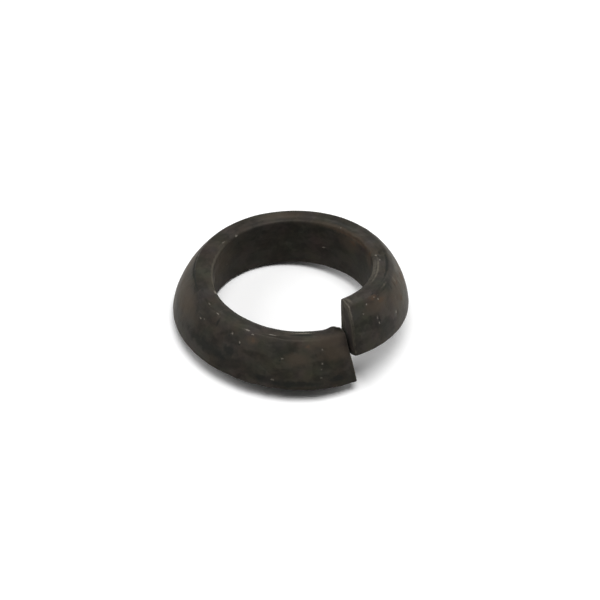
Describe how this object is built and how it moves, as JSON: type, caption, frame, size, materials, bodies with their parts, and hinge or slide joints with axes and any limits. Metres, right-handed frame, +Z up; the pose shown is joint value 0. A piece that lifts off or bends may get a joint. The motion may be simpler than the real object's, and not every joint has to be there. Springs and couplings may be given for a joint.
{
  "type": "spring lock washer with ball-seat flank",
  "caption": "Split spring ring with a plain bore and a crowned ball-seat flank; its sprung ends hold a wheel nut against loosening.",
  "frame": {"origin": "on the surface the washer lies on, under the middle of its outline", "axes": "+Z up as it lies, rim upwards; the cut stands at the front right, towards +X and -Y; the coil axis leans a few degrees back from +Z"},
  "size_m": [0.028, 0.028, 0.0105],
  "materials": {
    "oxidised_steel": "dark brown-black oxide on hardened spring steel, matt to satin, with faint rust and worn edges"
  },
  "bodies": {
    "root": {"spring_washer": "oxidised_steel"}
  },
  "joints": []
}
